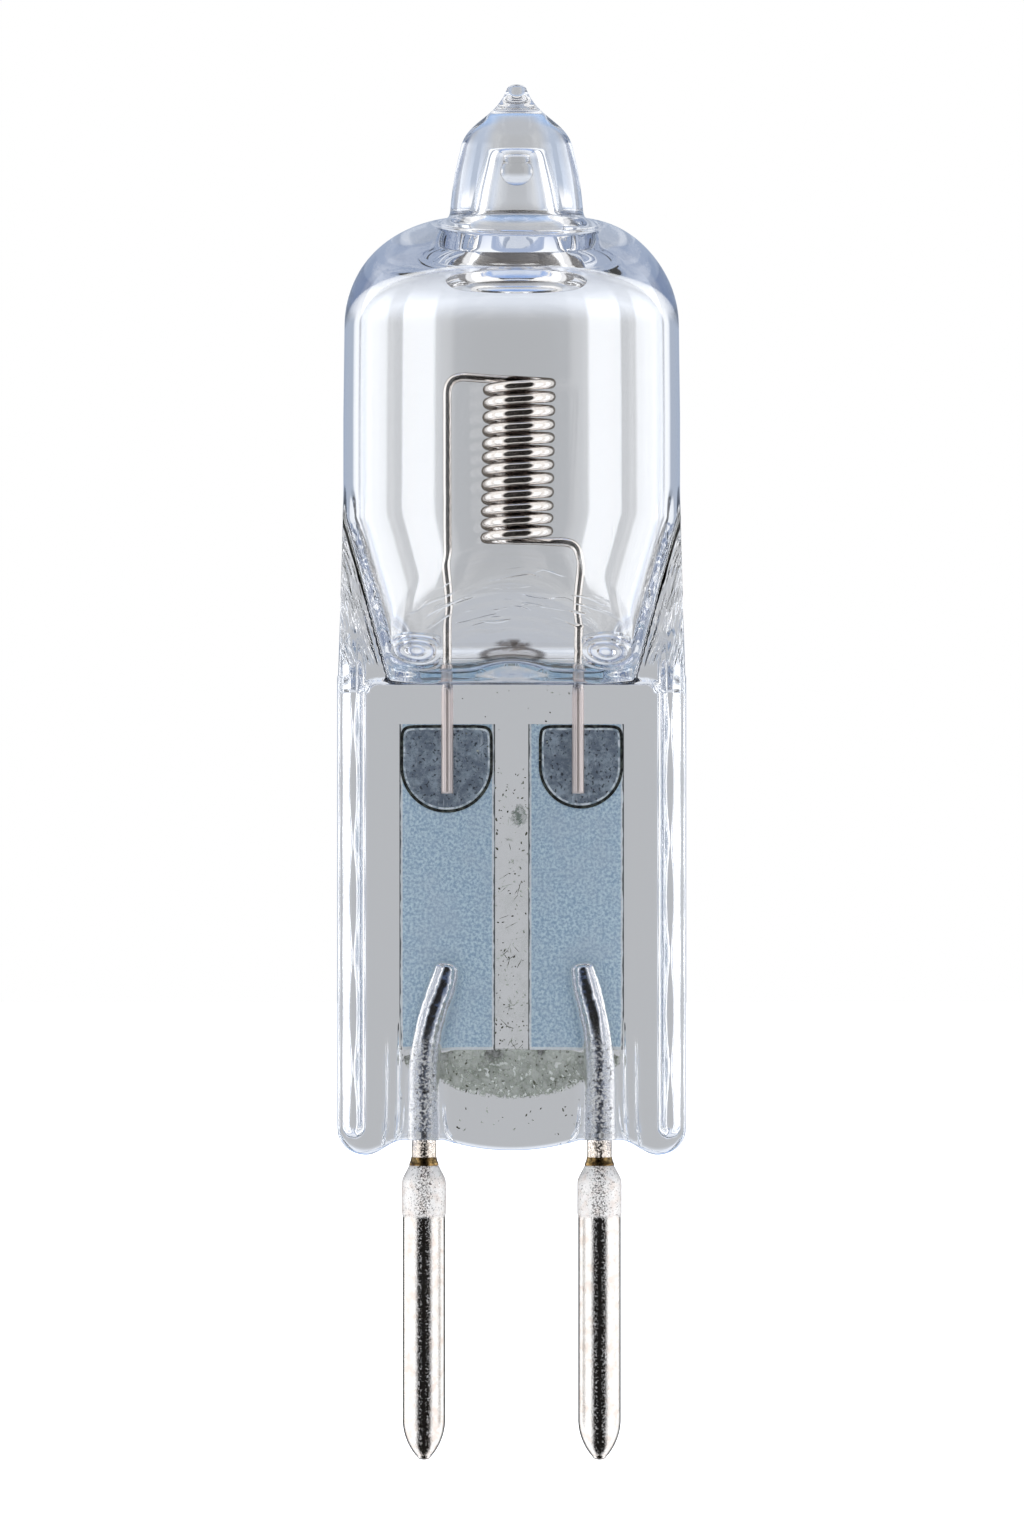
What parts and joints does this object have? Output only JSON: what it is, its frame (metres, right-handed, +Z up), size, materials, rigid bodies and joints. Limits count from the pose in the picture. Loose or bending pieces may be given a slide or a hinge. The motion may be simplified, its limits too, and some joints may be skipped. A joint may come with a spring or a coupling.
{
  "type": "halogen bulb",
  "caption": "Clear halogen capsule lamp: a domed glass bulb over a flattened pinch seal, with an upright coiled filament, sealing foils and a two-pin base.",
  "frame": {"origin": "midway between the two pins, at the top of their contact wall", "axes": "+Z up the lamp's axis towards the exhaust tip, +X from the left pin to the right pin as seen from the front, front at -Y; the flat faces of the pinch look along Y"},
  "size_m": [0.0126, 0.0122, 0.0497],
  "materials": {
    "glass": "clear fused silica, fire-polished",
    "tungsten": "drawn tungsten wire, bright",
    "foil": "etched molybdenum foil, satin blue-grey",
    "weld_tab": "dark scratched plate",
    "lead": "drawn molybdenum wire, satin",
    "braze": "brazed",
    "pin": "nickel plate, matte collar and polished wall"
  },
  "bodies": {
    "root": {"glass_envelope": "glass", "filament": "tungsten", "foil_left": "foil", "foil_right": "foil", "weld_tab_left": "weld_tab", "weld_tab_right": "weld_tab", "lead_left": "lead", "lead_right": "lead", "braze_ring_left": "braze", "braze_ring_right": "braze", "pin_left": "pin", "pin_right": "pin"}
  },
  "joints": []
}
